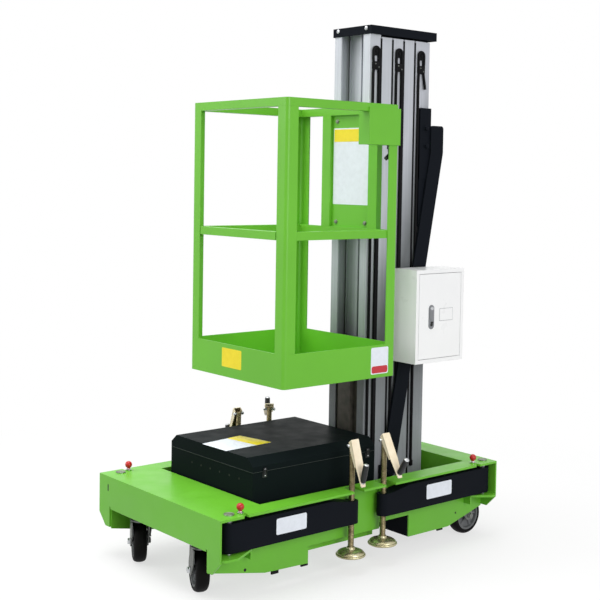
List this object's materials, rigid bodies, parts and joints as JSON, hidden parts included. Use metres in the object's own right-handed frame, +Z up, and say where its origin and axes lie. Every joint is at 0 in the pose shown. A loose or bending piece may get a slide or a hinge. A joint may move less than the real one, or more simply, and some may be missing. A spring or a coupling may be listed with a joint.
{
  "type": "aerial work platform",
  "caption": "Push-around vertical mast work platform: a guarded cage on nested aluminium mast sections above a wheeled steel base with swing-out outriggers and screw jacks.",
  "frame": {"origin": "on the floor under the middle of the base", "axes": "+Z up, -Y towards the cage's entry end, +X towards the cabinet's side"},
  "size_m": [0.9211, 1.35, 1.98],
  "materials": {
    "green_paint": "gloss apple-green powder coat",
    "black_paint": "satin black powder coat",
    "mast_aluminium": "anodised extrusion",
    "white_paint": "gloss white",
    "bronze_zinc": "bronze-toned zinc plating",
    "cream_zinc": "pale yellow zinc plating",
    "bright_zinc": "bright zinc plating",
    "red_knob": "glossy ball",
    "tyre_black": "black rubber",
    "hub_grey": "moulded grey",
    "rubber_black": "matte",
    "black_plastic": "matte"
  },
  "bodies": {
    "base": {"front_deck": "green_paint", "rear_deck": "green_paint", "side_rail_near": "green_paint", "side_rail_far": "green_paint", "floor_pan": "green_paint", "mast_cradle": "black_paint", "rubber_bumpers": "rubber_black", "hinge_pins": "bright_zinc", "lock_knobs": "red_knob", "power_box": "black_paint", "power_box_cover": "black_paint", "battery_and_pump": "black_plastic", "caster_plates": "bright_zinc", "rear_wheel_brackets": "bright_zinc", "mast_foot": "black_paint", "mast_section_1": "mast_aluminium", "mast_stays": "black_paint", "rope_sheaves_1": "black_plastic", "cabinet_case": "white_paint"},
    "door": {"cabinet_door": "white_paint"},
    "section_2": {"mast_section_2": "mast_aluminium"},
    "section_3": {"mast_section_3": "mast_aluminium", "rope_sheaves_3": "black_plastic"},
    "section_4": {"mast_section_4": "mast_aluminium"},
    "section_5": {"mast_section_5": "mast_aluminium", "rope_sheaves_5": "black_plastic", "mast_cap": "black_paint"},
    "cage": {"carriage": "black_paint", "cage_floor": "green_paint", "cage_posts": "green_paint", "cage_top_rail": "green_paint", "cage_mid_rails": "green_paint", "sign_panel": "green_paint", "control_console": "green_paint", "console_gland": "black_plastic"},
    "bar": {"entry_bar": "green_paint"},
    "outrigger_front_near": {"arm_front_near": "black_paint"},
    "screw_front_near": {"jack_front_near": "bronze_zinc", "crank_front_near": "cream_zinc"},
    "outrigger_front_far": {"arm_front_far": "black_paint"},
    "screw_front_far": {"jack_front_far": "bronze_zinc", "crank_front_far": "cream_zinc"},
    "outrigger_rear_near": {"arm_rear_near": "black_paint"},
    "screw_rear_near": {"jack_rear_near": "bronze_zinc", "crank_rear_near": "cream_zinc"},
    "outrigger_rear_far": {"arm_rear_far": "black_paint"},
    "screw_rear_far": {"jack_rear_far": "bronze_zinc", "crank_rear_far": "cream_zinc"},
    "caster_near": {"caster_fork_near": "bright_zinc"},
    "front_wheel_near": {"front_near_tyre": "tyre_black", "front_near_hub": "hub_grey"},
    "rear_wheel_near": {"rear_near_tyre": "tyre_black", "rear_near_hub": "hub_grey"},
    "caster_far": {"caster_fork_far": "bright_zinc"},
    "front_wheel_far": {"front_far_tyre": "tyre_black", "front_far_hub": "hub_grey"},
    "rear_wheel_far": {"rear_far_tyre": "tyre_black", "rear_far_hub": "hub_grey"}
  },
  "joints": [
    {"name": "section_2_lift", "type": "slide", "parent": "base", "child": "section_2", "axis": [0, 0, 1], "range_m": [0, 1.4]},
    {"name": "section_3_lift", "type": "slide", "parent": "section_2", "child": "section_3", "axis": [0, 0, 1], "range_m": [0, 1.4]},
    {"name": "section_4_lift", "type": "slide", "parent": "section_3", "child": "section_4", "axis": [0, 0, 1], "range_m": [0, 1.4]},
    {"name": "section_5_lift", "type": "slide", "parent": "section_4", "child": "section_5", "axis": [0, 0, 1], "range_m": [0, 1.4]},
    {"name": "cage_lift", "type": "slide", "parent": "section_5", "child": "cage", "axis": [0, 0, 1], "range_m": [0, 1.15]},
    {"name": "entry_bar_slide", "type": "slide", "parent": "cage", "child": "bar", "axis": [0, 0, 1], "range_m": [0, 0.42]},
    {"name": "cabinet_door_hinge", "type": "hinge", "parent": "base", "child": "door", "pos_m": [0.246, 0.5735, 0.873], "axis": [0, 0, 1], "range_deg": [0, 105]},
    {"name": "arm_swing_front_near", "type": "hinge", "parent": "base", "child": "outrigger_front_near", "pos_m": [0.336, -0.604, 0.227], "axis": [0, 0, -1], "range_deg": [0, 115]},
    {"name": "jack_screw_front_near", "type": "slide", "parent": "outrigger_front_near", "child": "screw_front_near", "axis": [0, 0, -1], "range_m": [-0.015, 0.09]},
    {"name": "arm_swing_front_far", "type": "hinge", "parent": "base", "child": "outrigger_front_far", "pos_m": [-0.336, -0.604, 0.227], "axis": [0, 0, 1], "range_deg": [0, 115]},
    {"name": "jack_screw_front_far", "type": "slide", "parent": "outrigger_front_far", "child": "screw_front_far", "axis": [0, 0, -1], "range_m": [-0.015, 0.09]},
    {"name": "arm_swing_rear_near", "type": "hinge", "parent": "base", "child": "outrigger_rear_near", "pos_m": [0.336, 0.632, 0.227], "axis": [0, 0, 1], "range_deg": [0, 90]},
    {"name": "jack_screw_rear_near", "type": "slide", "parent": "outrigger_rear_near", "child": "screw_rear_near", "axis": [0, 0, -1], "range_m": [-0.015, 0.09]},
    {"name": "arm_swing_rear_far", "type": "hinge", "parent": "base", "child": "outrigger_rear_far", "pos_m": [-0.336, 0.632, 0.227], "axis": [0, 0, -1], "range_deg": [0, 90]},
    {"name": "jack_screw_rear_far", "type": "slide", "parent": "outrigger_rear_far", "child": "screw_rear_far", "axis": [0, 0, -1], "range_m": [-0.015, 0.09]},
    {"name": "caster_swivel_near", "type": "hinge", "parent": "base", "child": "caster_near", "pos_m": [0.191, -0.61, 0.16], "axis": [0, 0, 1], "continuous": true},
    {"name": "front_wheel_spin_near", "type": "hinge", "parent": "caster_near", "child": "front_wheel_near", "pos_m": [0.16707, -0.59984, 0.075], "axis": [-0.3907, -0.9205, 0], "continuous": true},
    {"name": "rear_wheel_spin_near", "type": "hinge", "parent": "base", "child": "rear_wheel_near", "pos_m": [0.266, 0.607, 0.075], "axis": [1, 0, 0], "continuous": true},
    {"name": "caster_swivel_far", "type": "hinge", "parent": "base", "child": "caster_far", "pos_m": [-0.191, -0.61, 0.16], "axis": [0, 0, 1], "continuous": true},
    {"name": "front_wheel_spin_far", "type": "hinge", "parent": "caster_far", "child": "front_wheel_far", "pos_m": [-0.21417, -0.5982, 0.075], "axis": [-0.454, -0.891, 0], "continuous": true},
    {"name": "rear_wheel_spin_far", "type": "hinge", "parent": "base", "child": "rear_wheel_far", "pos_m": [-0.266, 0.607, 0.075], "axis": [1, 0, 0], "continuous": true}
  ],
  "couplings": [
    {"joint": "section_3_lift", "follows": "section_2_lift", "ratio": 1},
    {"joint": "section_4_lift", "follows": "section_2_lift", "ratio": 1},
    {"joint": "section_5_lift", "follows": "section_2_lift", "ratio": 1},
    {"joint": "cage_lift", "follows": "section_2_lift", "ratio": 0.82143}
  ]
}
